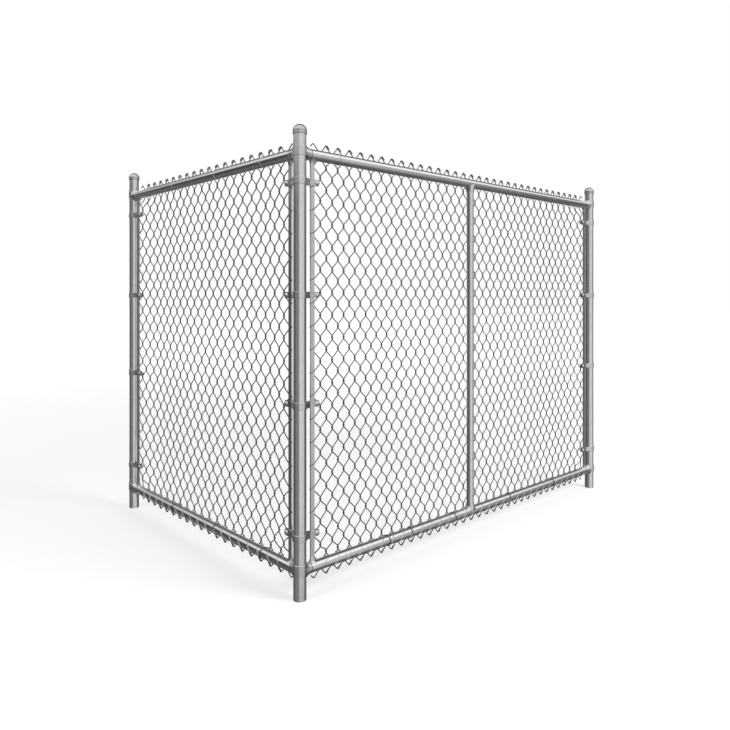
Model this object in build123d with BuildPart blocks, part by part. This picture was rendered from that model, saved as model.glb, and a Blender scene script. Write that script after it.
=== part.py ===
"""Corner section of galvanised chain link fence: three posts and two framed, woven panels."""

import math
import os

from build123d import *

os.makedirs("parts", exist_ok=True)

# Driving dimensions, in millimetres
# Posts stand on their axes: the corner post at the origin, the right bay along +X, the left along +Y
right_bay = 1935
left_bay = 1330
post_diameter = 44.5
post_wall = 2.6
post_tube_height = 1584
left_end_post_extra = 15
foot_disc = 4

# Pressed dome caps that close the posts, pushed down over them
cap_wall = 2.2
cap_overlap = 11
cap_skirt = 14
cap_crown = 20

# Rails, and the slimmer upright that divides the right bay
rail_diameter = 38
rail_wall = 2
top_rail_drop = 74
bottom_rail_height = 97
upright_diameter = 30
upright_wall = 2
upright_position = 918
upright_flare = 3
upright_flare_height = 35

# Bands round the posts, and the cups on them that hold the rails
rail_band_thickness = 2.2
rail_band_height = 33
rail_band_rise = 6
cup_wall = 1.2
cup_sleeve = 7
cup_flare = 2.5
cup_base = 2
cup_saddle = 12

# Woven fabric behind the rails: wire, nominal diamonds and the two knuckled edges
wire = 3.4
diamond_height = 79.6
right_diamond_width = 55
left_diamond_width = 63
fabric_below_rail = 52
fabric_above_rail = 47
fabric_from_corner_post = 78
fabric_from_end_post = 50
knuckle_tail = 15

# Flat bars that stand between the rails beside every post and stretch the ends of the fabric
tension_bar_width = 16
tension_bar_thickness = 6.4
tension_bar_beside_post = 22.75

# Tension bands that clamp the bars to the posts
band_thickness = 2.2
band_height = 22
lowest_band_above_rail = 113
highest_band_below_rail = 95
middle_band_heights = [655, 1029]
band_ear_lead = 5
band_ear_tip = 18
band_ear_angle = 32
band_gap_angle = 28

# Clearances
post_fit = 0.1
tube_fit = 0.2
seat = 0.3

# Sizes that follow from the driving dimensions
top_rail_height = post_tube_height - top_rail_drop
fabric_bottom = bottom_rail_height - fabric_below_rail
fabric_top = top_rail_height + fabric_above_rail
band_heights = [
    bottom_rail_height + lowest_band_above_rail,
    *middle_band_heights,
    top_rail_height - highest_band_below_rail,
]
post_radius = post_diameter / 2
post_bore = post_radius + post_fit
rail_radius = rail_diameter / 2
upright_radius = upright_diameter / 2
rail_band_radius = post_bore + rail_band_thickness
rail_start = rail_band_radius + cup_base
cup_bore = rail_radius + tube_fit
cup_radius = cup_bore + cup_wall
fabric_depth = rail_radius + seat + wire
bar_start = post_radius + tension_bar_beside_post
bar_end = bar_start + tension_bar_width

corner = Vector(0, 0, 0)
along_x = Vector(1, 0, 0)
along_y = Vector(0, 1, 0)
up = Vector(0, 0, 1)


def level(point, height):
    """Horizontal plane at a height above a point on the ground."""
    return Plane(point + up * height)


def upright_plane(point, along):
    """Vertical plane through a point, with its first axis along a bay and its second one up."""
    return Plane(point, x_dir=along, z_dir=along.cross(up))


def save(builder, name):
    """Label one sub-part and write its file."""
    builder.part.label = name
    export_step(builder.part, f"parts/{name}.step")


def strip_outline(points, width):
    """Closed outline of a strip of constant width along a bent line, with mitred corners."""
    left = []
    right = []
    for index, point in enumerate(points):
        before = (point - points[index - 1]) if index > 0 else (points[1] - point)
        after = (points[index + 1] - point) if index + 1 < len(points) else before
        normal_before = Vector(-before.Y, before.X).normalized()
        normal_after = Vector(-after.Y, after.X).normalized()
        mitre = (normal_before + normal_after).normalized()
        reach = mitre * (width / 2 / mitre.dot(normal_before))
        left.append(point + reach)
        right.append(point - reach)
    return left + right[::-1]


# Posts: tubes closed at the foot by a flat disc
def make_post(name, foot, tube_height):
    with BuildPart() as post:
        with BuildSketch(level(foot, 0)):
            Circle(post_radius)
        extrude(amount=tube_height)
        with BuildSketch(level(foot, foot_disc)):
            Circle(post_radius - post_wall)
        extrude(amount=tube_height - foot_disc, mode=Mode.SUBTRACT)
    save(post, name)


# Caps: a straight skirt that grips the post, and a domed crown that is a little less than half a ball
def make_caps(name, posts):
    skirt_radius = post_bore + cap_wall
    crown_radius = (skirt_radius ** 2 + cap_crown ** 2) / (2 * cap_crown)
    crown_start = math.degrees(math.asin(1 - cap_crown / crown_radius))
    with BuildPart() as caps:
        for foot, tube_height in posts:
            skirt_bottom = tube_height - cap_overlap
            top = skirt_bottom + cap_skirt + cap_crown
            with BuildSketch(upright_plane(foot, along_x)):
                with BuildLine():
                    crown = CenterArc((0, top - crown_radius), crown_radius, crown_start, 90 - crown_start)
                    Polyline(crown @ 0, (skirt_radius, skirt_bottom), (0, skirt_bottom), crown @ 1)
                make_face()
            revolve(axis=Axis(foot, up))
            with BuildSketch(level(foot, skirt_bottom)):
                Circle(post_bore)
            extrude(amount=cap_overlap + seat, mode=Mode.SUBTRACT)
    save(caps, name)


# Rails: tubes that end inside the cups
def make_rail(name, along, bay, height):
    with BuildPart() as rail:
        with BuildSketch(Plane(along * rail_start + up * height, z_dir=along)):
            Circle(rail_radius)
            Circle(rail_radius - rail_wall, mode=Mode.SUBTRACT)
        extrude(amount=bay - 2 * rail_start)
    save(rail, name)


# Rail bands: plain rings round a post at the heights of the rails
def make_rail_bands(name, foot):
    with BuildPart() as bands:
        for height in (bottom_rail_height, top_rail_height):
            with BuildSketch(level(foot, height + rail_band_rise - rail_band_height / 2)):
                Circle(rail_band_radius)
                Circle(post_bore, mode=Mode.SUBTRACT)
            extrude(amount=rail_band_height)
    save(bands, name)


# Rail end cups: a cone that hugs the band, with a solid base and a bore for the end of the rail
def make_rail_ends(name, along, bay, height):
    sleeve_end = rail_start + cup_sleeve
    flare_slope = cup_flare / (sleeve_end - rail_band_radius)
    flare_radius = cup_radius + flare_slope * (sleeve_end - cup_saddle)
    side = along.cross(up)
    with BuildPart() as cups:
        for foot, inward in ((corner, along), (along * bay, along * -1)):
            with BuildSketch(upright_plane(foot + up * height, inward)):
                with BuildLine():
                    Polyline((cup_saddle, 0), (cup_saddle, flare_radius), (sleeve_end, cup_radius),
                             (sleeve_end, cup_bore), (rail_start, cup_bore), (rail_start, 0), close=True)
                make_face()
            revolve(axis=Axis(foot + up * height, inward))
        for foot in (corner, along * bay):
            with BuildSketch(level(foot, height - flare_radius)):
                Circle(rail_band_radius + post_fit)
            extrude(amount=2 * flare_radius, mode=Mode.SUBTRACT)
        middle = along * (bay / 2)
        half_width = side * (bay / 2 - seat)
        with BuildSketch(level(corner, height - flare_radius)):
            with BuildLine():
                Polyline(along * seat, middle + half_width, along * (bay - seat), middle - half_width,
                         close=True)
            make_face()
        extrude(amount=2 * flare_radius, mode=Mode.INTERSECT)
    save(cups, name)


# Middle upright: a slimmer tube welded between the rails, flared at both joints
def make_upright(name, along, position):
    foot = along * position
    with BuildPart() as upright:
        with BuildSketch(upright_plane(foot, along)):
            with BuildLine():
                flare = upright_radius + upright_flare
                Polyline((0, bottom_rail_height), (flare, bottom_rail_height),
                         (upright_radius, bottom_rail_height + upright_flare_height),
                         (upright_radius, top_rail_height - upright_flare_height),
                         (flare, top_rail_height), (0, top_rail_height), close=True)
            make_face()
        revolve(axis=Axis(foot, up))
        with BuildSketch(level(foot, bottom_rail_height)):
            Circle(upright_radius - upright_wall)
        extrude(amount=top_rail_height - bottom_rail_height, mode=Mode.SUBTRACT)
        for height in (bottom_rail_height, top_rail_height):
            with BuildSketch(Plane(foot - along * rail_diameter + up * height, z_dir=along)):
                Circle(rail_radius + post_fit)
            extrude(amount=2 * rail_diameter, mode=Mode.SUBTRACT)
    save(upright, name)


# Tension bars: flat bars in the plane of the rails, from rail to rail
def make_tension_bar(name, foot, along, inside):
    depth = inside * (tension_bar_thickness / 2)
    near = foot + along * bar_start
    far = foot + along * bar_end
    with BuildPart() as bar:
        with BuildSketch(level(corner, bottom_rail_height + rail_radius + seat)):
            with BuildLine():
                Polyline(near - depth, far - depth, far + depth, near + depth, close=True)
            make_face()
        extrude(amount=top_rail_height - bottom_rail_height - 2 * (rail_radius + seat))
    save(bar, name)


def turned(along, inside, angle):
    """Direction at an angle from a bay towards its inner side."""
    turn = math.radians(angle)
    return along * math.cos(turn) + inside * math.sin(turn)


def ear_outline(foot, along, inside, side):
    """Corners of one ear of a tension band, from its ring past the far edge of the bar."""
    grip = tension_bar_thickness / 2 + post_fit + band_thickness / 2
    depth = inside * (side * grip)
    root = turned(along, inside, side * band_ear_angle) * (post_bore + band_thickness / 2)
    bend = along * (bar_start - band_ear_lead) + depth
    tip = along * (bar_end + band_ear_tip) + depth
    return [foot + point for point in strip_outline([root, bend, tip], band_thickness)]


# Tension bands: straps round a post, open towards every bay, whose ears clamp the bars
def make_tension_bands(name, foot, arms, sides):
    with BuildPart() as bands:
        for height in band_heights:
            with BuildSketch(level(corner, height - band_height / 2)):
                with Locations(foot):
                    Circle(post_bore + band_thickness)
                first = turned(*arms[0], -band_gap_angle) * post_diameter
                last = turned(*arms[-1], -band_gap_angle if len(arms) > 1 else band_gap_angle) * post_diameter
                middle = (first + last).normalized() * post_diameter
                with BuildLine():
                    Polyline(*[foot + point for point in (Vector(), first, middle, last)], close=True)
                make_face(mode=Mode.SUBTRACT)
                for along, inside in arms:
                    for side in sides:
                        with BuildLine():
                            Polyline(*ear_outline(foot, along, inside, side), close=True)
                        make_face()
                with Locations(foot):
                    Circle(post_bore, mode=Mode.SUBTRACT)
            extrude(amount=band_height)
    save(bands, name)


# Back straps: where two bays share a band, a bent strap inside the corner makes both inner ears
def make_back_straps(name, foot, arms):
    with BuildPart() as straps:
        for height in band_heights:
            with BuildSketch(level(corner, height - band_height / 2)):
                with Locations(foot):
                    Circle(post_bore + band_thickness)
                edges = [turned(*arm, band_gap_angle) * post_diameter for arm in arms]
                with BuildLine():
                    Polyline(*[foot + point for point in (Vector(), edges[0], edges[0] + edges[1], edges[1])],
                             close=True)
                make_face(mode=Mode.INTERSECT)
                for along, inside in arms:
                    with BuildLine():
                        Polyline(*ear_outline(foot, along, inside, 1), close=True)
                    make_face()
                with Locations(foot):
                    Circle(post_bore, mode=Mode.SUBTRACT)
            extrude(amount=band_height)
    save(straps, name)


def rising_wires(columns, rows, half_width, half_height):
    """Centre lines of the wires that rise to the right, each ending in a bent knuckle at an edge."""
    tail = knuckle_tail / math.hypot(half_width, half_height)
    columns_across = 2 * columns
    rows_up = 2 * rows
    lines = []
    for offset in range(1 - columns_across, rows_up, 2):
        first = max(0, -offset)
        last = min(columns_across, rows_up - offset)
        nodes = [(first, first + offset), (last, last + offset)]
        if first + offset == 0:
            nodes.insert(0, (first - tail, tail))
        if last + offset == rows_up:
            nodes.append((last + tail, rows_up - tail))
        lines.append([Vector(column * half_width, row * half_height) for column, row in nodes])
    return lines


# Fabric: the front strands rise one way and the back strands the other, and cross in contact
def make_fabric(names, along, inside, bay, diamond_width):
    start = fabric_from_corner_post
    width = bay - start - fabric_from_end_post
    columns = round(width / diamond_width)
    rows = round((fabric_top - fabric_bottom) / diamond_height)
    half_width = width / columns / 2
    half_height = (fabric_top - fabric_bottom) / rows / 2
    base = along * start + up * fabric_bottom
    lines = rising_wires(columns, rows, half_width, half_height)
    for name, mirrored, depth in ((names[0], False, fabric_depth - wire), (names[1], True, fabric_depth)):
        with BuildPart() as strands:
            with BuildSketch(upright_plane(base + inside * depth, along)):
                for line in lines:
                    outline = strip_outline(line, wire)
                    if mirrored:
                        outline = [Vector(width - point.X, point.Y) for point in outline]
                    with BuildLine():
                        Polyline(*outline, close=True)
                    make_face()
                with Locations((width / 2, (fabric_top - fabric_bottom) / 2)):
                    Rectangle(width, 2 * fabric_top, mode=Mode.INTERSECT)
            extrude(amount=wire, dir=inside)
        save(strands, name)


right_foot = along_x * right_bay
left_foot = along_y * left_bay
left_end_tube_height = post_tube_height + left_end_post_extra
posts = [("corner", corner, post_tube_height), ("right_end", right_foot, post_tube_height),
         ("left_end", left_foot, left_end_tube_height)]
for post_name, post_foot, tube_height in posts:
    make_post(f"{post_name}_post", post_foot, tube_height)
    make_rail_bands(f"{post_name}_rail_bands", post_foot)
make_caps("post_caps", [(post_foot, tube_height) for post_name, post_foot, tube_height in posts])

for bay_name, bay_along, bay_length in (("right", along_x, right_bay), ("left", along_y, left_bay)):
    for rail_name, rail_height in (("top_rail", top_rail_height), ("bottom_rail", bottom_rail_height)):
        make_rail(f"{bay_name}_{rail_name}", bay_along, bay_length, rail_height)
        make_rail_ends(f"{bay_name}_{rail_name}_cups", bay_along, bay_length, rail_height)

make_upright("middle_upright", along_x, upright_position)

right_arm = (along_x, along_y)
left_arm = (along_y, along_x)
right_end_arm = (along_x * -1, along_y)
left_end_arm = (along_y * -1, along_x)
make_tension_bar("right_corner_tension_bar", corner, *right_arm)
make_tension_bar("left_corner_tension_bar", corner, *left_arm)
make_tension_bar("right_end_tension_bar", right_foot, *right_end_arm)
make_tension_bar("left_end_tension_bar", left_foot, *left_end_arm)

make_tension_bands("corner_tension_bands", corner, [right_arm, left_arm], sides=[-1])
make_back_straps("corner_tension_back_straps", corner, [right_arm, left_arm])
make_tension_bands("right_end_tension_bands", right_foot, [right_end_arm], sides=[-1, 1])
make_tension_bands("left_end_tension_bands", left_foot, [left_end_arm], sides=[-1, 1])

make_fabric(("right_fabric_front_wires", "right_fabric_back_wires"),
            along_x, along_y, right_bay, right_diamond_width)
make_fabric(("left_fabric_front_wires", "left_fabric_back_wires"),
            along_y, along_x, left_bay, left_diamond_width)
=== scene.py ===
"""Looks of a galvanised chain link fence corner section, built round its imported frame.

The posts, rails, bars and bands keep the frame's own solids and get weathered zinc. The woven
fabric with its knuckled edges, the flares of the rails, the welds, the bolts and rolled edges of
the bands, the lacing and the tie wires are made here, in metres, in the frame's own axes: the
corner post stands on the origin, the right bay runs along +X, the left bay along +Y, and the outer
side of the corner faces -X and -Y.
"""

from __future__ import annotations

import logging
import math
from dataclasses import dataclass, field
from enum import Enum

import bpy
import numpy as np
from bpy.types import Material, NodeSocket, NodeTree, Object
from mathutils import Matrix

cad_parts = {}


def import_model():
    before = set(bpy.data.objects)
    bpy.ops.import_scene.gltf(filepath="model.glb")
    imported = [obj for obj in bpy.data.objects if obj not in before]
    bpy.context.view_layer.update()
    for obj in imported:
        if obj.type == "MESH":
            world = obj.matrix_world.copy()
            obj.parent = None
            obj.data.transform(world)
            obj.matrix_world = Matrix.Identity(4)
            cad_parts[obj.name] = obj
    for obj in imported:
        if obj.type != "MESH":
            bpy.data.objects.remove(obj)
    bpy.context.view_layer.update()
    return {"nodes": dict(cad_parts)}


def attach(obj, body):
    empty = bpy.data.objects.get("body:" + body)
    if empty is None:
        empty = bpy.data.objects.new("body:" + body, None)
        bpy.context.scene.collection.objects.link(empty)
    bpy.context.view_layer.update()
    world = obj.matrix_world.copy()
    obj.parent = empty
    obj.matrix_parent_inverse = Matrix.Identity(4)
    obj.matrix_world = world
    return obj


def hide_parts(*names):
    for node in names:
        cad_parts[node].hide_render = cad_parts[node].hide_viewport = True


log = logging.getLogger("fence")

UP = np.array([0.0, 0.0, 1.0])
# radius that stands for a point on the axis of a turned shape
TINY = 1e-6
Array = np.ndarray
# corners, one row each, and arrays of faces
Shape = tuple[Array, list[Array]]


class Side(Enum):
    """The two bays of the corner, each with its direction and the direction of its inner side."""

    RIGHT = ("right", (1.0, 0.0, 0.0), (0.0, 1.0, 0.0))
    LEFT = ("left", (0.0, 1.0, 0.0), (1.0, 0.0, 0.0))

    @property
    def label(self) -> str:
        """Name of the bay."""
        return self.value[0]

    @property
    def along(self) -> Array:
        """Unit vector from the corner post to the end post."""
        return np.array(self.value[1])

    @property
    def inside(self) -> Array:
        """Unit vector from the rails towards the fabric."""
        return np.array(self.value[2])


# ---- Shader graphs


class Signal:
    """A socket of a shader graph whose arithmetic adds Math nodes."""

    def __init__(self, graph: Graph, socket: NodeSocket) -> None:
        """Keep the graph and the socket that carries the value."""
        self.graph = graph
        self.socket = socket

    def _math(self, operation: str, first: object, second: object) -> Signal:
        """Add one Math node and return its value."""
        inputs = {0: first, 1: second}
        return self.graph.node("ShaderNodeMath", {"operation": operation}, inputs)["Value"]

    def __add__(self, other: Signal | float) -> Signal:
        """Sum."""
        return self._math("ADD", self, other)

    def __radd__(self, other: float) -> Signal:
        """Sum, from the right."""
        return self._math("ADD", other, self)

    def __sub__(self, other: Signal | float) -> Signal:
        """Difference."""
        return self._math("SUBTRACT", self, other)

    def __rsub__(self, other: float) -> Signal:
        """Difference, from the right."""
        return self._math("SUBTRACT", other, self)

    def __mul__(self, other: Signal | float) -> Signal:
        """Product."""
        return self._math("MULTIPLY", self, other)

    def __rmul__(self, other: float) -> Signal:
        """Product, from the right."""
        return self._math("MULTIPLY", other, self)

    def at_most(self, other: Signal | float) -> Signal:
        """Lesser of the two."""
        return self._math("MINIMUM", self, other)

    def at_least(self, other: Signal | float) -> Signal:
        """Greater of the two."""
        return self._math("MAXIMUM", self, other)


class Graph:
    """Node tree of one material or of the world."""

    def __init__(self, tree: NodeTree) -> None:
        """Start from an empty tree."""
        self.tree = tree
        tree.nodes.clear()

    def node(
        self, kind: str, settings: dict[str, object] | None = None, inputs: dict | None = None
    ) -> dict[str, Signal]:
        """Add a node.

        Args:
            kind: Blender's type of the node.
            settings: Properties that are set first, with "stops" for the stops of a ramp.
            inputs: Values or signals, by the name or number of the socket.

        Returns:
            The node's outputs by name.
        """
        made = self.tree.nodes.new(kind)
        for name, value in (settings or {}).items():
            if name == "stops":
                ramp = made.color_ramp
                while len(ramp.elements) < len(value):
                    ramp.elements.new(1.0)
                for element, (place, colour) in zip(ramp.elements, value):
                    element.position = place
                    element.color = colour
            else:
                setattr(made, name, value)
        for name, value in (inputs or {}).items():
            socket = made.inputs[name]
            if isinstance(value, Signal):
                self.tree.links.new(value.socket, socket)
            else:
                socket.default_value = value
        return {output.name: Signal(self, output) for output in made.outputs if output.enabled}

    def mix(self, factor: Signal | float, first: object, second: object) -> Signal:
        """Colour between two colours."""
        made = self.node(
            "ShaderNodeMix", {"data_type": "RGBA"}, {"Factor": factor, 6: first, 7: second}
        )
        return made["Result"]

    def noise(self, place: Signal, scale: float, detail: float) -> Signal:
        """Noise round one half."""
        inputs = {"Vector": place, "Scale": scale, "Detail": detail}
        return self.node("ShaderNodeTexNoise", {}, inputs)["Fac"]

    def seen(self) -> Signal:
        """1 for rays of the camera and what it sees reflected or through glass, 0 for others."""
        path = self.node("ShaderNodeLightPath")
        passed_on = path["Is Glossy Ray"].at_least(path["Is Transmission Ray"])
        return path["Is Camera Ray"].at_least(passed_on)


def new_material(name: str) -> tuple[Material, Graph]:
    """A new material and its empty graph."""
    material = bpy.data.materials.new(name)
    material.use_nodes = True
    return material, Graph(material.node_tree)


def grey(level: float, warm: float = 0.0) -> tuple[float, float, float, float]:
    """Grey of a linear level, slightly warm or, below nought, cool."""
    return (level * (1 + warm), level, level * (1 - warm), 1.0)


@dataclass(frozen=True)
class Zinc:
    """Galvanised steel: smooth bright zinc with faint crystals, dulled in patches and streaks.

    Attributes:
        name: Name of the material.
        level: Linear grey of the bright zinc.
        dull: Linear grey of the dulled patches.
        metallic: Share of metal in the surface.
        roughness: Roughness of the bright zinc.
        spangle: Crystals in a metre.
        spangle_depth: Contrast of the crystals.
        streaks: Contrast of the drawing marks that run along the piece.
        marks: Drawing marks in a metre, across the piece and along it.
        patches: Dulled patches in a metre.
        patch_edge: Steepness with which a patch sets in.
        worn_roughness: Roughness that a patch adds.
        crystal_roughness: Difference in roughness between crystals.
        bumps: Fine bumps in a metre.
        grain: Height of the fine bumps, in metres.
        axis: Direction of the drawing marks, 0 for X, 1 for Y and 2 for Z.
    """

    name: str
    level: float = 0.6
    dull: float = 0.42
    metallic: float = 0.97
    roughness: float = 0.10
    spangle: float = 75.0
    spangle_depth: float = 0.05
    streaks: float = 0.07
    marks: tuple[float, float] = (60.0, 1.1)
    patches: float = 5.0
    patch_edge: float = 2.6
    worn_roughness: float = 0.14
    crystal_roughness: float = 0.03
    bumps: float = 420.0
    grain: float = 0.00001
    axis: int = 2

    def material(self) -> Material:
        """Build the material's nodes.

        Returns:
            The new material.
        """
        material, graph = new_material(self.name)
        place = graph.node("ShaderNodeTexCoord")["Object"]
        stretch = [self.marks[0]] * 3
        stretch[self.axis] = self.marks[1]
        drawn = graph.node("ShaderNodeMapping", {}, {"Vector": place, "Scale": stretch})["Vector"]
        cells = graph.node(
            "ShaderNodeTexVoronoi", {}, {"Vector": place, "Scale": self.spangle, "Randomness": 0.9}
        )["Color"]
        crystals = graph.node("ShaderNodeSeparateColor", {}, {"Color": cells})["Red"]
        streak = graph.noise(drawn, 1.0, 3.0) - 0.5
        patch = graph.noise(place, self.patches, 5.0) - 0.5
        fine = graph.noise(place, self.bumps, 2.0)
        dulled = patch.at_least(0.0) * self.patch_edge
        worn = (dulled + streak * self.streaks * 2.0).at_least(0.0).at_most(1.0)
        clean = graph.mix(worn, grey(self.level, 0.004), grey(self.dull, -0.008))
        tone = 1.0 - crystals * self.spangle_depth + streak * self.streaks
        colour = graph.node(
            "ShaderNodeVectorMath", {"operation": "SCALE"}, {"Vector": clean, "Scale": tone}
        )["Vector"]
        rough = self.roughness + worn * self.worn_roughness
        rough = rough + (crystals - 0.5) * self.crystal_roughness
        bump = graph.node(
            "ShaderNodeBump", {}, {"Height": fine, "Distance": self.grain, "Strength": 0.5}
        )["Normal"]
        shader = graph.node(
            "ShaderNodeBsdfPrincipled",
            {},
            {"Base Color": colour, "Metallic": self.metallic, "Roughness": rough, "Normal": bump},
        )["BSDF"]
        graph.node("ShaderNodeOutputMaterial", {}, {"Surface": shader})
        return material


# ---- Meshes


def make_piece(name: str, shape: Shape, material: Material) -> Object:
    """Put a mesh into the scene as a piece of the section.

    Args:
        name: Name of the piece.
        shape: Its corners, in metres, and its faces.
        material: Finish of the piece.

    Returns:
        The new object, which rides on the section.
    """
    points, faces = shape
    mesh = bpy.data.meshes.new(name)
    mesh.from_pydata(points.tolist(), [], [row for block in faces for row in block.tolist()])
    mesh.polygons.foreach_set("use_smooth", np.ones(len(mesh.polygons), dtype=bool))
    mesh.materials.append(material)
    mesh.update()
    piece = bpy.data.objects.new(name, mesh)
    bpy.context.scene.collection.objects.link(piece)
    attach(piece, "root")
    return piece


def unit(vectors: Array) -> Array:
    """Vectors of length one along the last axis."""
    return vectors / np.linalg.norm(vectors, axis=-1, keepdims=True)


def placed(local: Array, along: Array, inside: Array) -> Array:
    """Points of the section, from rows of distances along a bay, inwards and up."""
    return along * local[..., 0:1] + inside * local[..., 1:2] + UP * local[..., 2:3]


def tubes(paths: Array, radius: float, sides: int, side_hint: Array) -> Shape:
    """Round wires along many paths of equally many points.

    Each point P of a path becomes a ring P + radius (cos a N + sin a B), where T is the direction
    of the path there, N = T x hint and B = T x N. Rings are joined by quads and ends are closed.

    Args:
        paths: Array of shape (wires, points, 3).
        radius: Radius of the wire.
        sides: Sides of its section.
        side_hint: Direction that no path ever runs along.

    Returns:
        The corners and the arrays of faces.
    """
    wires, count, _ = paths.shape
    heading = unit(np.gradient(paths, axis=1))
    across = unit(np.cross(heading, side_hint))
    other = np.cross(heading, across)
    angle = np.arange(sides) * (2 * math.pi / sides)
    cosine, sine = np.cos(angle)[:, None], np.sin(angle)[:, None]
    ring = cosine * across[:, :, None, :] + sine * other[:, :, None, :]
    points = (paths[:, :, None, :] + radius * ring).reshape(-1, 3)
    wire_start = np.arange(wires)[:, None, None] * (count * sides)
    quads = (wire_start + grid_faces(count, sides)).reshape(-1, 4)
    first = wire_start[:, 0] + np.arange(sides)
    last = first + (count - 1) * sides
    return points, [quads, first, last[:, ::-1]]


def turned_shape(profile: Array, centre: Array, axis: Array, sides: int) -> Shape:
    """Surface of revolution of a profile about an axis.

    A profile point (r, h) becomes centre + h axis + r (cos a U + sin a V), with U and V square to
    the axis. Points on the axis stay as small rings, so that every face is a quad.

    Args:
        profile: Rows of radius and height, from one end to the other.
        centre: Point where the height is nought.
        axis: Unit vector of the axis.
        sides: Steps round the axis.

    Returns:
        The corners and the arrays of faces.
    """
    hint = np.array([1.0, 0.0, 0.0]) if abs(axis[0]) < 0.9 else np.array([0.0, 1.0, 0.0])
    u = unit(np.cross(axis, hint))
    v = np.cross(axis, u)
    angle = np.arange(sides) * (2 * math.pi / sides)
    ring = np.cos(angle)[:, None] * u + np.sin(angle)[:, None] * v
    radius = np.maximum(profile[:, 0], TINY)
    points = centre + profile[:, 1, None, None] * axis + radius[:, None, None] * ring
    quads = grid_faces(len(profile), sides)[:, [0, 3, 2, 1]]
    return points.reshape(-1, 3), [quads]


def grid_faces(rows: int, columns: int) -> Array:
    """Quads of a grid of points, row by row, joined round its columns."""
    row, column = np.arange(rows - 1)[:, None] * columns, np.arange(columns)
    here, after = row + column, row + (column + 1) % columns
    return np.stack([here, here + columns, after + columns, after], axis=-1).reshape(-1, 4)


def join(shapes: list[Shape]) -> Shape:
    """One set of corners and faces from several."""
    points: list[Array] = []
    faces: list[Array] = []
    offset = 0
    for shape_points, shape_faces in shapes:
        points.append(shape_points)
        faces.extend(block + offset for block in shape_faces)
        offset += len(shape_points)
    return np.concatenate(points), faces


# ---- The section's own sizes


@dataclass(frozen=True)
class FenceSizes:
    """Sizes that the frame and the pieces made here share, in metres."""

    bays: dict[Side, float] = field(default_factory=lambda: {Side.RIGHT: 1.935, Side.LEFT: 1.330})
    rail_radius: float = 0.019
    top_rail: float = 1.510
    bottom_rail: float = 0.097
    upright_place: float = 0.918
    upright_radius: float = 0.015
    band_thickness: float = 0.0022
    band_heights: tuple[float, ...] = (0.210, 0.655, 1.029, 1.415)
    fabric_depth: float = 0.0234
    fabric_bottom: float = 0.045
    fabric_top: float = 1.557
    fabric_from_corner: float = 0.078
    fabric_from_end: float = 0.050
    bar_start: float = 0.045
    bar_width: float = 0.016
    bar_thickness: float = 0.0064
    wire: float = 0.0042

    def fabric_span(self, side: Side) -> tuple[float, float]:
        """Where the fabric starts and ends along a bay at the height of the rails."""
        return self.fabric_from_corner, self.bays[side] - self.fabric_from_end


@dataclass
class Maker:
    """Something that is made round the frame's solids, by sizes that it shares with them."""

    sizes: FenceSizes


def ease(values: Array, start: float, end: float) -> Array:
    """Smooth step 3 t^2 - 2 t^3, with t running from 0 at the start to 1 at the end."""
    t = np.clip((values - start) / (end - start), 0.0, 1.0)
    return t * t * (3 - 2 * t)


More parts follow.
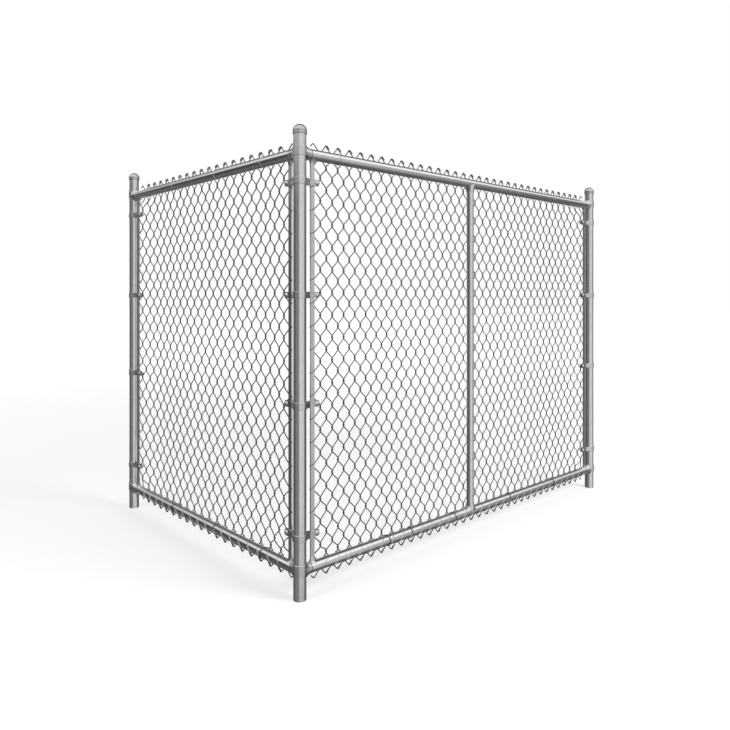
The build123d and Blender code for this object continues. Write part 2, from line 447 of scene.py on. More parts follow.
@dataclass
class WovenFabric(Maker):
    """Chain link fabric of one bay.

    Every wire is a flattened spiral that runs up the fabric. Its legs that rise to the right lie
    in the outer face and its other legs in the inner face, and at each turn it passes through the
    turn of its neighbour. At both edges the two wires of a diamond are knuckled over each other.
    Between the rails both ends are drawn forward to the flat bars and loop round them.

    Attributes:
        side: The bay.
        columns: Diamonds across.
        rows: Diamonds up.
        phase: 0 where the knuckles stand half a diamond from the bars, 1 where they start at them.
        hook: How far a turn reaches past the line where it meets its neighbour.
        bend: Radius of the turn, seen square to the fabric.
        twist: Height over which a turn passes from one face to the other, or round a bar.
        near_turn: Heights from a turn at which its bend needs points.
        gap: Air between two wires at a crossing. At a knuckle it is twice as much.
        bar_gap: Air between a bar and the turn round it.
        tail: Length of a knuckled end.
        short_tail: Sideways reach of an end that is cut short.
        knuckle_slope: How much wider than the legs the knuckled ends spread.
        knuckle_curve: Radius of the knuckle's bend.
        knuckle_open: How far a long end stands off, along the bay and outwards.
        clear: Distance above or below a rail up to which the fabric stays behind it.
        release: Height over which it then comes forward.
        draw: Distance from a bar over which the fabric comes forward.
    """

    side: Side
    columns: int
    rows: int = 19
    phase: int = 1
    hook: float = 0.00218
    bend: float = 0.0090
    twist: float = 0.0045
    near_turn: tuple[float, ...] = (0.0030, 0.0065, 0.012)
    gap: float = 0.0001
    bar_gap: float = 0.0003
    tail: float = 0.0175
    short_tail: float = 0.0040
    knuckle_slope: float = 1.22
    knuckle_curve: float = 0.0010
    knuckle_open: tuple[float, float] = (0.0016, 0.0012)
    clear: float = 0.008
    release: float = 0.026
    draw: float = 0.110

    def _leg(self, along_leg: Array, half: float, pitch: float) -> Array:
        """Sideways place on a leg, from -half to half.

        Near each turn the line is a hyperbola half - s (sqrt(x^2 + bend^2) - bend), where x is the
        height from the turn and s makes the two halves meet in the middle of the leg.
        """
        slope = half / (math.hypot(pitch / 2, self.bend) - self.bend)
        near = np.minimum(along_leg, pitch - along_leg)
        reach = half - slope * (np.sqrt(near**2 + self.bend**2) - self.bend)
        return np.where(along_leg <= pitch / 2, -reach, reach)

    def _between_rails(self, height: Array) -> Array:
        """1 where the bars stand free and 0 behind the rails, for heights above the ground."""
        clear = self.sizes.rail_radius + self.clear
        low = self.sizes.bottom_rail + clear
        high = self.sizes.top_rail - clear
        risen = ease(height, low, low + self.release)
        return risen * ease(-height, -high, -high + self.release)

    def paths(self) -> Array:
        """Centre lines of all wires.

        Returns:
            Array of shape (wires, points, 3): along the bay from the corner post's axis, inwards
            from the plane of the rails, and up from the ground.
        """
        start, end = self.sizes.fabric_span(self.side)
        half_width = (end - start) / self.columns / 2
        pitch = (self.sizes.fabric_top - self.sizes.fabric_bottom) / self.rows / 2
        legs = 2 * self.rows
        wires = 2 * self.columns
        lift = (self.sizes.wire + self.gap) / 2
        wire_number = np.arange(wires)[:, None, None]
        leg_number = np.arange(legs)[None, :, None]
        rising = np.where((wire_number + leg_number + self.phase) % 2 == 1, 1.0, -1.0)
        near = np.array(self.near_turn)
        steps = np.concatenate([[0.0], near, pitch - near[::-1]])
        height = steps[None, None, :]
        shape = (wires, legs, len(steps))
        middle = np.broadcast_to((wire_number + 0.5) * half_width, shape)
        across = middle + rising * self._leg(height, half_width / 2 + self.hook, pitch)
        ends = np.tanh(height / self.twist) * np.tanh((pitch - height) / self.twist)
        depth = np.broadcast_to(-rising * lift * ends, shape)
        up = np.broadcast_to(leg_number * pitch + height, shape)
        free = self._between_rails(self.sizes.fabric_bottom + up)
        # the first and the last wire go round the bars with their outer turns
        bar_reach = self.sizes.bar_width + self.sizes.wire + self.bar_gap - 2 * self.hook
        bar_lift = self.sizes.bar_thickness / 2 + self.sizes.wire / 2 - lift
        from_start = np.exp(-((height / self.twist) ** 2))
        from_end = np.exp(-(((pitch - height) / self.twist) ** 2))
        left_turn = np.where(rising > 0, from_start, from_end)
        right_turn = np.where(rising > 0, from_end, from_start)
        outer = np.where(wire_number == 0, left_turn, 0)
        outer = outer - np.where(wire_number == wires - 1, right_turn, 0)
        across = across - outer * bar_reach * free
        depth = depth - rising * np.abs(outer) * bar_lift * ends * free
        # the knuckled ends take the place of the outermost turns
        line = np.stack([across, up, depth], axis=-1)
        top = self._knuckle(line[:, -1], rising[:, -1, 0], half_width, pitch, 1.0)
        bottom = self._knuckle(line[:, 0], rising[:, 0, 0], half_width, pitch, -1.0)
        body = line[:, 1:-1].reshape(wires, -1, 3)
        local = np.concatenate([bottom[:, ::-1], body, top], axis=1)
        return self._drawn_forward(local, start, end)

    def _drawn_forward(self, local: Array, start: float, end: float) -> Array:
        """Bring the ends of the flat fabric to the bars.

        The weight exp(-(d / draw)^2) of the distance d from an end slides a point towards the bar
        and from the fabric's depth to the plane of the rails, but only between the rails.
        """
        along = start + local[..., 0]
        height = self.sizes.fabric_bottom + local[..., 1]
        free = self._between_rails(height)
        from_start = np.exp(-((np.maximum(along - start, 0) / self.draw) ** 2)) * free
        from_end = np.exp(-((np.maximum(end - along, 0) / self.draw) ** 2)) * free
        bar_edge = self.sizes.bar_start + self.sizes.bar_width
        last_edge = self.sizes.bays[self.side] - bar_edge
        slide = (bar_edge - start) * from_start + (last_edge - end) * from_end
        depth = self.sizes.fabric_depth * (1 - from_start - from_end) + local[..., 2]
        return np.stack([along + slide, depth, height], axis=-1)

    def _knuckle(
        self, leg: Array, rising: Array, half_width: float, pitch: float, way: float
    ) -> Array:
        """Last leg of each wire with its end bent back over the neighbour.

        The leg runs straight from its turn to the edge, and the end follows the hyperbola
        w = q - sqrt((t / slope)^2 + q^2), where t is the distance past the edge's point. One end
        is long and lies along its neighbour, and the other is cut short. A wire without a
        neighbour keeps a long end.

        Args:
            leg: Points of the outermost leg of every wire.
            rising: 1 for legs in the outer face, -1 for those in the inner face.
            half_width: Half the width of a diamond.
            pitch: Half its height.
            way: 1 at the top edge, -1 at the bottom.

        Returns:
            Points from the last turn outwards, for every wire.
        """
        slope = self.knuckle_slope * (half_width + self.hook) / pitch
        wires = len(leg)
        order = leg if way > 0 else leg[:, ::-1]
        anchor = order[:, :1]
        edge = self.sizes.fabric_top - self.sizes.fabric_bottom if way > 0 else 0.0
        number = np.arange(wires) + self.phase
        column = (number + 1 - number % 2 - self.phase) * half_width
        heading = rising * way
        run = self.tail * math.sin(math.atan(slope))
        long_end = np.where(heading > 0, 1.0, 0.0)[:, None]
        long_end[[0, -1]] = 1.0
        reach = self.short_tail + (run - self.short_tail) * long_end
        bent = np.tile([-0.018, -0.010, -0.0034, -0.0014, 0.0, 0.0014, 0.0034], (wires, 1))
        steps = np.hstack([bent, reach * [0.92, 1.0]])
        curve = self.knuckle_curve
        rise = curve - np.sqrt((steps / slope) ** 2 + curve**2)
        spread = long_end * np.clip(steps / self.short_tail, 0.0, 1.0)
        u = column[:, None] + heading[:, None] * (steps + spread * self.knuckle_open[0])
        w = edge + way * (rise + spread * self.knuckle_open[1])
        lift = self.sizes.wire / 2 + self.gap
        d = np.broadcast_to(-rising[:, None] * lift, u.shape)
        points = np.stack([u, w, d], axis=-1)
        return np.concatenate([anchor, order[:, 1:3], points], axis=1)

    def build(self, material: Material, parts: int) -> list[Object]:
        """Make the wires and hide the plain ones of the frame.

        Args:
            material: Finish of the wires.
            parts: Number of pieces that the wires are shared over.

        Returns:
            The pieces, from the corner outwards.
        """
        place = placed(self.paths(), self.side.along, self.side.inside)
        pieces = []
        for number, wires in enumerate(np.array_split(place, parts)):
            shape = tubes(wires, self.sizes.wire / 2, 6, self.side.inside)
            name = f"{self.side.label}_woven_fabric_{number + 1}"
            pieces.append(make_piece(name, shape, material))
        for piece in pieces:
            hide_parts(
                f"{self.side.label}_fabric_front_wires",
                f"{self.side.label}_fabric_back_wires",
            )
        return pieces


@dataclass
class BandBolts(Maker):
    """Carriage bolts that close the tension bands past the bars.

    Attributes:
        head_radius: Radius of the domed head on the outer ear.
        head_height: Height of the dome.
        shank_radius: Radius of the shank.
        tip_radius: Radius of the shank's bevelled tip.
        bevel: Height of that bevel, and thickness of the head's rim.
        nut_radius: Radius of the nut's circle through its corners.
        nut_height: Thickness of the nut.
        nut_bevel: Height of the nut's bevel and what it leaves of the radius.
        thread: Length of the thread past the nut.
        past_bar: Distance of the bolt from the bar's edge.
        ear_gap: Air between a bar and an ear of its band.
    """

    head_radius: float = 0.0090
    head_height: float = 0.0058
    shank_radius: float = 0.0031
    tip_radius: float = 0.0026
    bevel: float = 0.0006
    nut_radius: float = 0.0076
    nut_height: float = 0.0066
    nut_bevel: tuple[float, float] = (0.0008, 0.88)
    thread: float = 0.004
    past_bar: float = 0.0098
    ear_gap: float = 0.0001

    def _bolt(self, centre: Array, inside: Array) -> Shape:
        """One bolt: a dome outside, a shank through both ears and a nut on its thread."""
        grip = self.sizes.bar_thickness / 2 + self.ear_gap + self.sizes.band_thickness
        thin, wide = self.shank_radius, self.nut_radius
        nut_top = grip + self.nut_height
        tip = nut_top + self.thread
        turn = np.linspace(0, math.pi / 2, 5)
        size = np.array([self.head_radius, -self.head_height])
        dome = size * np.stack([np.sin(turn), np.cos(turn)], axis=-1)
        rim = np.array([[self.head_radius, self.bevel], [thin, self.bevel]])
        head = np.concatenate([dome, rim]) - [0.0, grip]
        end = tip + self.bevel
        shank = np.array([[thin, -grip], [thin, tip], [self.tip_radius, end], [0.0, end]])
        height, share = self.nut_bevel
        bevelled = [[wide, nut_top - height], [wide * share, nut_top]]
        nut = np.array([[thin, grip], [wide, grip], *bevelled, [thin, nut_top]])
        profiles = ((head, 16), (shank, 10), (nut, 6))
        return join([turned_shape(rows, centre, inside, sides) for rows, sides in profiles])

    def build(self, material: Material) -> Object:
        """Make every bolt of the three posts as one piece."""
        shapes = []
        for side in Side:
            bay = self.sizes.bays[side]
            reach = self.sizes.bar_start + self.sizes.bar_width + self.past_bar
            for place in (reach, bay - reach):
                for height in self.sizes.band_heights:
                    shapes.append(self._bolt(side.along * place + UP * height, side.inside))
        return make_piece("tension_band_bolts", join(shapes), material)


@dataclass
class RailFlares(Maker):
    """Flared ends of the rails, which spread onto the rings round the posts.

    The flare is a sleeve whose radius shrinks from the ring to the rail as a square of the
    distance left, more above and below than at the sides, where it hugs the ring.

    Attributes:
        ring_radius: Outer radius of the ring round a post.
        rise: Height of the flare above and below the rail.
        side: Height of the flare at its sides.
        reach: Distance of its end from the axis of the post.
        lip: Thickness of the sleeve at its end.
        hug: Distance from the post's axis, sideways, past which the flare's edge runs straight.
        overlap: Depth to which the flare's edge goes into the ring.
    """

    ring_radius: float = 0.02455
    rise: float = 0.0072
    side: float = 0.0022
    reach: float = 0.0410
    lip: float = 0.0005
    hug: float = 0.0232
    overlap: float = 0.0004

    def _flare(self, foot: Array, inward: Array, inside: Array, height: float) -> Shape:
        """One flare, from the ring round a post towards the middle of the bay."""
        steps, rows = 36, 9
        turn = np.arange(steps)[None, :] * (2 * math.pi / steps)
        t = np.linspace(0.0, 1.0, rows)[:, None]
        outer = self.sizes.rail_radius + self.lip
        spread = self.rise * np.cos(turn) ** 2 + self.side * np.sin(turn) ** 2
        sideways = np.minimum(np.abs((outer + spread) * np.sin(turn)), self.hug)
        start = np.sqrt(self.ring_radius**2 - sideways**2) - self.overlap
        # the last row closes the sleeve's lip onto the rail
        radius = np.vstack([outer + spread * (1 - t) ** 2, np.full(steps, self.sizes.rail_radius)])
        along = np.vstack([start + t * (self.reach - start), np.full(steps, self.reach)])
        local = np.stack([along, radius * np.sin(turn), height + radius * np.cos(turn)], axis=-1)
        faces = grid_faces(rows + 1, steps)
        if np.dot(np.cross(inward, inside), UP) > 0:
            faces = faces[:, ::-1]
        return (foot + placed(local, inward, inside)).reshape(-1, 3), [faces]

    def build(self, material: Material) -> list[Object]:
        """Make the flares of every rail in place of its cups."""
        pieces = []
        for side in Side:
            ends = ((np.zeros(3), side.along), (side.along * self.sizes.bays[side], -side.along))
            for label, height in (("top", self.sizes.top_rail), ("bottom", self.sizes.bottom_rail)):
                flares = [self._flare(foot, way, side.inside, height) for foot, way in ends]
                name = f"{side.label}_{label}_rail_flares"
                piece = make_piece(name, join(flares), material)
                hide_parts(f"{side.label}_{label}_rail_cups")
                pieces.append(piece)
        return pieces


@dataclass(frozen=True)
class WeldShape:
    """Outline of a weld on its bar and its saddle on the rail.

    Attributes:
        half_width: Half the bar's width along the rail.
        half_depth: Half its thickness.
        power: Roundness of the outline, 1 for an ellipse and less for a box.
        base_width: Half the saddle's width along the rail.
        wrap: Angle by which the saddle reaches round the rail to either side.
    """

    half_width: float
    half_depth: float
    power: float
    base_width: float
    wrap: float


@dataclass
class Welds(Maker):
    """Flared welds where the flat bars and the middle upright meet the rails.

    A weld is swept between an outline on the bar and a saddle on the rail, along quadratic Bezier
    curves whose middle points lie near the bar, which leaves it hollow like a run fillet.

    Attributes:
        climb: Distance from the rail's surface at which a weld starts on a bar.
        raised: Height of the weld's edge over the rail.
        on_bar: Thickness of a weld's edge on a flat bar.
        on_upright: Thickness of its edge on the middle upright.
    """

    climb: float = 0.017
    raised: float = 0.0003
    on_bar: float = 0.0002
    on_upright: float = 0.0012

    def _weld(self, side: Side, place: float, rail: float, way: float, shape: WeldShape) -> Shape:
        """One weld at a place along the bay, above the rail for a way of 1 and under it for -1."""
        steps, rows = 40, 10
        turn = np.arange(steps) * (2 * math.pi / steps)
        cosine, sine = np.cos(turn), np.sin(turn)
        outline_u = shape.half_width * np.sign(cosine) * np.abs(cosine) ** shape.power
        outline_d = shape.half_depth * np.sign(sine) * np.abs(sine) ** shape.power
        rail_radius = self.sizes.rail_radius
        edge = rail_radius + self.raised
        around = np.radians(shape.wrap) * sine
        base_d = edge * np.sin(around)
        base = np.stack([shape.base_width * cosine, base_d, edge * np.cos(around)], axis=-1)
        top = np.full(steps, rail_radius + self.climb)
        start = np.stack([outline_u, outline_d, top], axis=-1)
        knee = np.full(steps, rail_radius * 1.06)
        middle = np.stack([outline_u * 1.05, outline_d + base_d * 0.30, knee], axis=-1)
        t = np.linspace(0.0, 1.0, rows)[:, None, None]
        sweep = (1 - t) ** 2 * start + 2 * t * (1 - t) * middle + t**2 * base
        points = placed(sweep * [1.0, 1.0, way] + [place, 0.0, rail], side.along, side.inside)
        faces = grid_faces(rows, steps)
        if np.dot(np.cross(side.along, side.inside), UP) * way < 0:
            faces = faces[:, ::-1]
        return points.reshape(-1, 3), [faces]

    def build(self, bar_finish: Material) -> Object:
        """Make every weld as one piece."""
        sizes = self.sizes
        bar = (sizes.bar_width / 2 + self.on_bar, sizes.bar_thickness / 2 + self.on_bar, 0.35)
        tube = sizes.upright_radius + self.on_upright
        upright = WeldShape(tube, tube, 1.0, 0.0225, 80.0)
        rails = (
            (sizes.bottom_rail, 1.0, WeldShape(*bar, 0.0104, 40.0)),
            (sizes.top_rail, -1.0, WeldShape(*bar, 0.0135, 58.0)),
        )
        shapes = []
        for side in Side:
            centre = sizes.bar_start + sizes.bar_width / 2
            for rail, way, weld in rails:
                for place in (centre, sizes.bays[side] - centre):
                    shapes.append(self._weld(side, place, rail, way, weld))
                if side is Side.RIGHT:
                    shapes.append(self._weld(side, sizes.upright_place, rail, way, upright))
        return make_piece("rail_welds", join(shapes), bar_finish)


def round_rail(side: Side, along: Array, radius: Array, turn: Array, rail: float) -> Array:
    """Path of a wire round a rail, whose angle turns from the outer side up and inwards."""
    local = np.stack([along, -radius * np.cos(turn), rail + radius * np.sin(turn)], axis=-1)
    return placed(local, side.along, side.inside)[None]


@dataclass
class RailTies(Maker):
    """Soft wire ties that hold the fabric to the rails.

    A tie is a hoop round the rail, with both ends hooked round wires of the fabric behind it.

    Attributes:
        wire: Thickness of the tie.
        gap: Air between it and the rail.
        slant: Distance along the rail that a full turn takes.
        hook_start: Angle from the rail's outer side at which its ends leave the rail.
        hook_turn: Angle through which they go on.
        hook_lift: How far they leave the rail.
        hook_sway: How far they sway along it.
        places: Distances along the bays, by bay and rail.
    """

    wire: dict[str, float] = field(default_factory=lambda: {"top": 0.0018, "bottom": 0.0026})
    gap: float = 0.0001
    slant: float = 0.010
    hook_start: float = 140.0
    hook_turn: float = 65.0
    hook_lift: float = 0.0085
    hook_sway: float = 0.003
    places: dict[tuple[Side, str], tuple[float, ...]] = field(
        default_factory=lambda: {
            (Side.RIGHT, "top"): (0.167, 0.535, 0.829, 1.190, 1.560),
            (Side.RIGHT, "bottom"): (0.414, 0.535, 0.803, 1.190, 1.560),
            (Side.LEFT, "top"): (0.214, 0.545, 0.900),
            (Side.LEFT, "bottom"): (0.214, 0.545, 0.900),
        }
    )

    def build(self, rail: str, material: Material) -> Object:
        """Make the ties of the top or of the bottom rails as one piece."""
        wire = self.wire[rail]
        height = self.sizes.top_rail if rail == "top" else self.sizes.bottom_rail
        hook = np.linspace(150, self.hook_start + self.hook_turn, 6)
        degrees = np.concatenate([-hook[::-1], np.linspace(-138, 138, 24), hook])
        turn = np.radians(degrees)
        past = np.maximum(np.abs(degrees) - self.hook_start, 0.0) / self.hook_turn
        radius = self.sizes.rail_radius + wire / 2 + self.gap
        radius = radius + self.hook_lift * past * (1.6 - past)
        shapes = []
        for side in Side:
            for number, place in enumerate(self.places[side, rail]):
                lean = self.slant * (1 if number % 2 else -1)
                sway = self.hook_sway * np.sin(3 * turn) * past
                along = place + lean * turn / (2 * math.pi) + sway
                path = round_rail(side, along, radius, turn, height)
                shapes.append(tubes(path, wire / 2, 8, side.along))
        return make_piece(f"{rail}_rail_tie_wires", join(shapes), material)


@dataclass
class RailLacing(Maker):
    """Thin wire that laces the fabric to the bottom rails, one turn to a diamond.

    Attributes:
        wire: Thickness of the lacing.
        gap: Air between it and the rail.
        behind: How much farther the lacing reaches behind the fabric than round the rail.
    """

    wire: float = 0.0018
    gap: float = 0.0001
    behind: float = 0.0088

    def build(self, columns: dict[Side, int], material: Material) -> Object:
        """Make the lacing of both bays as one piece.

        The wire is the helix r(a) (cos a, sin a) round the rail, where the radius r grows with
        ((1 - cos a) / 2)^4 towards the fabric.
        """
        shapes = []
        for side in Side:
            start, end = self.sizes.fabric_span(side)
            turns = columns[side] - 1
            turn = np.linspace(0.0, turns * 2 * math.pi, turns * 24 + 1)
            radius = self.sizes.rail_radius + self.wire / 2 + self.gap
            radius = radius + self.behind * ((1 - np.cos(turn)) / 2) ** 4
            step = (end - start) / columns[side]
            # it starts and sways by shares of a diamond
            along = start + step * (0.35 + turn / (2 * math.pi) + 0.10 * np.sin(turn))
            path = round_rail(side, along, radius, turn, self.sizes.bottom_rail)
            shapes.append(tubes(path, self.wire / 2, 6, side.along))
        return make_piece("bottom_rail_lacing", join(shapes), material)


@dataclass
class RolledEdges(Maker):
    """Rolled edges of the pressed bands, rings and caps, as thin rings round the posts.

    Attributes:
        radius: Radius of the middle of the roll round a post's axis.
        roll: Radius of the roll itself.
        band_half: Half the height of a tension band.
        band_mouth: Angle between the ears of a tension band.
        ring_heights: Lower and upper edges of the rings that carry the rails.
        ring_mouth: Angle that a rail hides on its ring.
        cap_edges: Height of the lower edge of the caps, for the left end post last.
        step: Largest angle between two points of a roll.
    """

    radius: float = 0.02345
    roll: float = 0.0010
    band_half: float = 0.011
    band_mouth: float = 30.0
    ring_heights: tuple[float, ...] = (0.0865, 0.1195, 1.4995, 1.5325)
    ring_mouth: float = 96.0
    cap_edges: tuple[float, ...] = (1.573, 1.573, 1.588)
    step: float = 9.0

    def _posts(self) -> list[tuple[Array, tuple[float, ...]]]:
        """Feet of the posts, with the angles at which their bays leave."""
        right = Side.RIGHT.along * self.sizes.bays[Side.RIGHT]
        left = Side.LEFT.along * self.sizes.bays[Side.LEFT]
        return [(np.zeros(3), (0.0, 90.0)), (right, (180.0,)), (left, (270.0,))]

    def _arc(self, foot: Array, height: float, start: float, end: float) -> Shape:
        """A roll of an edge from one angle to another."""
        angle = np.radians(np.linspace(start, end, 5 + int((end - start) / self.step)))
        path = foot + self.radius * np.stack(
            [np.cos(angle), np.sin(angle), np.full(len(angle), height / self.radius)], axis=-1
        )
        return tubes(path[None], self.roll, 8, UP)

    def _ring(
        self, foot: Array, ways: tuple[float, ...], height: float, mouth: float
    ) -> list[Shape]:
        """The rolls of an edge, open at the bays."""
        stops = [*ways, ways[0] + 360.0]
        pairs = [(start + mouth / 2, end - mouth / 2) for start, end in zip(stops, stops[1:])]
        return [self._arc(foot, height, start, end) for start, end in pairs if end > start]

    def bands(self, material: Material) -> Object:
        """Make the rolled edges of the bands and of the rings that carry the rails."""
        heights = [z + way * self.band_half for z in self.sizes.band_heights for way in (-1, 1)]
        edges = [(z, self.band_mouth) for z in heights]
        edges += [(z, self.ring_mouth) for z in self.ring_heights]
        shapes: list[Shape] = []
        for foot, ways in self._posts():
            for height, mouth in edges:
                shapes.extend(self._ring(foot, ways, height, mouth))
        return make_piece("band_edges", join(shapes), material)

    def caps(self, material: Material) -> Object:
        """Make the rolled lower edges of the caps."""
        feet = [foot for foot, _ in self._posts()]
        shapes = [self._arc(foot, z, 0.0, 358.0) for foot, z in zip(feet, self.cap_edges)]
        return make_piece("cap_edges", join(shapes), material)


# ---- Studio


@dataclass
class Studio:
    """Plain floor, white surroundings, soft lamps and the photograph's camera.

    Attributes:
        eye: Place of the camera.
        heading: Compass turn of the camera from +Y towards +X, in degrees.
        focal: Focal length in pixels of the photograph.
        size: Width and height of the photograph in pixels.
        horizon: Height of the horizon in the photograph, in pixels from its top.
        floor_reach: Distance of the floor's edges from the corner post.
        floor_glow: Light that the floor adds near the corner post, and further away.
        floor_fade: Distances from the corner post at which one turns into the other.
        room_centre: Middle of the room that only reflections see.
        room_radius: Radius of that room.
    """

    eye: tuple[float, float, float] = (-1.3496, -1.7883, 1.027)
    heading: float = 42.682
    focal: float = 659.84
    size: float = 730.0
    horizon: float = 295.63
    floor_reach: float = 40.0
    floor_glow: tuple[float, float] = (0.46, 0.71)
    floor_fade: tuple[float, float] = (2.5, 8.75)
    room_centre: tuple[float, float, float] = (0.7, 0.4, 0.9)
    room_radius: float = 30.0

    def camera(self) -> None:
        """Place the level camera, with the shift that the photograph's framing needs."""
        data = bpy.data.cameras.new("camera")
        data.lens = data.sensor_width * self.focal / self.size
        data.shift_y = (self.horizon - self.size / 2) / self.size
        camera = bpy.data.objects.new("camera", data)
        camera.location = self.eye
        camera.rotation_euler = (math.pi / 2, 0.0, -math.radians(self.heading))
        bpy.context.scene.collection.objects.link(camera)
        bpy.context.scene.camera = camera

    def _surface(self, name: str, corners: list, faces: list) -> tuple[Object, Graph]:
        """Add a surface of the stage, and return it with the empty graph of its material."""
        mesh = bpy.data.meshes.new(name)
        mesh.from_pydata(corners, [], faces)
        material, graph = new_material(name)
        mesh.materials.append(material)
        card = bpy.data.objects.new(name, mesh)
        bpy.context.scene.collection.objects.link(card)
        return card, graph

    def floor(self) -> None:
        """Lay a pale floor that looks white to the camera and keeps the shadow."""
        reach = self.floor_reach
        corners = [(-reach, -reach, 0), (reach, -reach, 0), (reach, reach, 0), (-reach, reach, 0)]
        floor, graph = self._surface("floor", corners, [(0, 1, 2, 3)])
        place = graph.node("ShaderNodeTexCoord")["Object"]
        length = graph.node("ShaderNodeVectorMath", {"operation": "LENGTH"}, {"Vector": place})
        near, away = self.floor_fade
        far = ((length["Value"] - near) * (1 / (away - near))).at_least(0.0).at_most(1.0)
        low, high = self.floor_glow
        glow = graph.node(
            "ShaderNodeVectorMath",
            {"operation": "SCALE"},
            {"Vector": (1.0, 1.0, 1.0), "Scale": graph.seen() * (far * (high - low) + low)},
        )["Vector"]
        surface = graph.node(
            "ShaderNodeBsdfPrincipled",
            {},
            {
                "Base Color": grey(0.82),
                "Roughness": 0.9,
                "Specular IOR Level": 0.0,
                "Emission Color": glow,
                "Emission Strength": 1.0,
            },
        )["BSDF"]
        graph.node("ShaderNodeOutputMaterial", {}, {"Surface": surface})
        floor.visible_glossy = False

    def surround(self) -> None:
        """Put up the room that only reflections see, for the light and dark bands of the metal.

        The room is a globe round the section. Level with the eye it is light in front of the
        corner, grey on its left and dark on both flanks. Above it is white, apart from a dark strip
        over the inside of the corner, and below it darkens towards the ground. Each corner of the
        globe takes its level between the columns and the rows of a table.
        """
        # turn from +X in degrees, level at the height of the eye, share of the inside's dark strip
        columns = np.array(
            [
                (0, 0.06, 1.0), (14, 0.34, 1.0), (36, 0.60, 1.0), (70, 0.62, 1.0), (96, 0.46, 0.9),
                (118, 0.05, 0.1), (140, 0.06, 0), (160, 0.18, 0), (190, 0.22, 0), (210, 0.17, 0),
                (217, 0.40, 0), (226, 0.62, 0), (250, 0.68, 0), (280, 0.68, 0), (302, 0.60, 0),
                (318, 0.32, 0), (334, 0.06, 0), (350, 0.04, 0.5), (360, 0.06, 1.0),
            ]
        )
        turns, eye, inside = columns.T
        open_eye = eye * (1 - inside)
        # levels at each climb above the horizon, in degrees
        rows = {
            -90: np.full(len(turns), 0.08),
            -62: np.full(len(turns), 0.09),
            -44: 0.09 + open_eye * 0.14,
            -28: 0.09 + open_eye * 0.50,
            -17: open_eye + 0.10 * inside,
            -8: eye,
            2: eye,
            9: open_eye + 0.34 * inside,
            17: np.maximum(eye, 0.55) * (1 - inside) + 0.20 * inside,
            26: 1.0 - 0.86 * inside,
            68: 1.0 - 0.86 * inside,
            78: 1.0 - 0.20 * inside,
            90: np.ones(len(turns)),
        }
        turn = np.arange(0.0, 360.0, 3.0)
        # the globe stops just short of both poles
        climb = np.linspace(-89.9, 89.9, 61)
        by_turn = np.stack([np.interp(turn, turns, row) for row in rows.values()])
        climbs = list(rows)
        level = np.stack([np.interp(climb, climbs, column) for column in by_turn.T], axis=-1)
        azimuth, height = np.radians(turn)[None, :], np.radians(climb)[:, None]
        flat = np.cos(height)
        ways = [flat * np.cos(azimuth), flat * np.sin(azimuth), np.sin(height) + 0.0 * azimuth]
        points = np.array(self.room_centre) + self.room_radius * np.stack(ways, axis=-1)
        corners = points.reshape(-1, 3).tolist()
        faces = grid_faces(len(climb), len(turn)).tolist()
        room, graph = self._surface("reflected_room", corners, faces)
        values = room.data.attributes.new("level", "FLOAT", "POINT").data
        values.foreach_set("value", level.ravel())
        strength = graph.node("ShaderNodeAttribute", {"attribute_name": "level"})["Fac"]
        light = {"Color": grey(1.0), "Strength": strength}
        glow = graph.node("ShaderNodeEmission", {}, light)["Emission"]
        graph.node("ShaderNodeOutputMaterial", {}, {"Surface": glow})
        for rays in ("camera", "diffuse", "shadow", "transmission", "volume_scatter"):
            setattr(room, f"visible_{rays}", False)

    def lamp(self, name: str, place: tuple, target: tuple, size: float, power: float) -> None:
        """Hang a large soft lamp that points at a target."""
        data = bpy.data.lights.new(name, "AREA")
        data.shape = "DISK"
        data.size = size
        data.energy = power
        lamp = bpy.data.objects.new(name, data)
        away = np.array(place) - np.array(target)
        flat = math.hypot(away[0], away[1])
        lamp.location = place
        compass = math.atan2(away[1], away[0]) + math.pi / 2
        lamp.rotation_euler = (math.atan2(flat, away[2]), 0.0, compass)
        lamp.visible_glossy = False
        bpy.context.scene.collection.objects.link(lamp)

    def world(self, soft: float) -> None:
        """White surroundings for what sees them directly, and a softer light for the rest."""
        world = bpy.data.worlds.new("white_surroundings")
        bpy.context.scene.world = world
        world.use_nodes = True
        graph = Graph(world.node_tree)
        light = {"Color": grey(1.0), "Strength": graph.seen() * (1 - soft) + soft}
        glow = graph.node("ShaderNodeBackground", {}, light)["Background"]
        graph.node("ShaderNodeOutputWorld", {}, {"Surface": glow})

    def build(self) -> None:
        """Set up everything that isn't part of the section."""
        self.camera()
        self.floor()
        self.world(0.42)
        self.surround()
        self.lamp("key", (2.2, -4.4, 3.6), (0.7, 0.2, 0.8), 3.0, 150.0)
        self.lamp("fill", (-4.6, 0.4, 3.4), (0.2, 0.5, 0.8), 3.0, 60.0)
        bpy.context.scene.view_settings.view_transform = "Standard"


# ---- The whole section


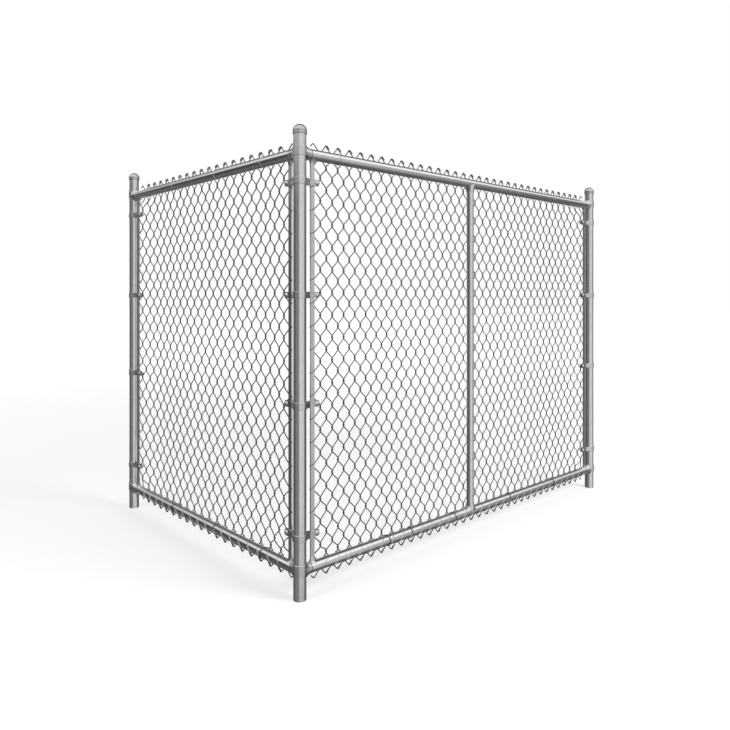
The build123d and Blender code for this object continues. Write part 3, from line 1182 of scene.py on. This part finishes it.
@dataclass
class FenceCorner:
    """The corner section: the frame's solids in their finishes, and the pieces made here."""

    nodes: dict[str, Object]
    sizes: FenceSizes = field(default_factory=FenceSizes)

    def dress(self) -> dict[str, Material]:
        """Give every solid of the frame its finish."""
        finishes = {
            "post": Zinc("post_zinc", level=0.88, dull=0.80),
            "rail_x": Zinc("right_rail_zinc", level=0.92, dull=0.84, axis=0),
            "rail_y": Zinc("left_rail_zinc", level=0.92, dull=0.84, axis=1),
            "fitting": Zinc("fitting_zinc", level=0.80, dull=0.66, roughness=0.20),
            # the caps' darker grey is partly their own duller metal and partly painted shade for
            # the dark reflection on their domes
            "cap": Zinc("cap_zinc_painted_shade", level=0.62, dull=0.52, roughness=0.13, spangle=160.0),
            "bar": Zinc("bar_zinc", level=0.86, dull=0.76, roughness=0.22),
            # the wires are the posts' zinc, given a very dark grey of painted shade so that the
            # thin wires show dark
            "wire": Zinc("wire_zinc_painted_shade", level=0.19, dull=0.12, roughness=0.22, spangle=300.0),
        }
        made = {name: finish.material() for name, finish in finishes.items()}
        # by the last word of a solid's name, and fitting for any other
        wears = {"post": "post", "upright": "post", "bar": "bar", "caps": "cap", "wires": "wire"}
        rail = {"right": "rail_x", "left": "rail_y"}
        for name, node in self.nodes.items():
            first, *_, last = name.split("_")
            kind = rail[first] if last == "rail" else wears.get(last, "fitting")
            for slot in node.material_slots:
                slot.material = made[kind]
            log.info("%s wears %s", name, made[kind].name)
        return made

    def build(self) -> None:
        """Dress the frame and make the other pieces."""
        finishes = self.dress()
        columns = {Side.RIGHT: 33, Side.LEFT: 19}
        made: list[Object] = []
        for side, parts in ((Side.RIGHT, 2), (Side.LEFT, 1)):
            made += WovenFabric(self.sizes, side, columns[side]).build(finishes["wire"], parts)
        made += RailFlares(self.sizes).build(finishes["fitting"])
        made += [
            Welds(self.sizes).build(finishes["bar"]),
            RailTies(self.sizes).build("top", finishes["fitting"]),
            # the bottom ties wear the wires' painted shade, so that they show as dark lines on the
            # light rail
            RailTies(self.sizes).build("bottom", finishes["wire"]),
            RailLacing(self.sizes).build(columns, finishes["fitting"]),
            RolledEdges(self.sizes).bands(finishes["fitting"]),
            RolledEdges(self.sizes).caps(finishes["cap"]),
            BandBolts(self.sizes).build(finishes["fitting"]),
        ]
        for piece in made:
            log.info("%s: %d faces", piece.name, len(piece.data.polygons))


def main() -> None:
    """Load the frame, build the looks round it and log the faces of each made piece."""
    logging.basicConfig(level=logging.INFO, format="%(name)s: %(message)s")
    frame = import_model()
    Studio().build()
    FenceCorner(frame["nodes"]).build()


if __name__ == "__main__":
    main()
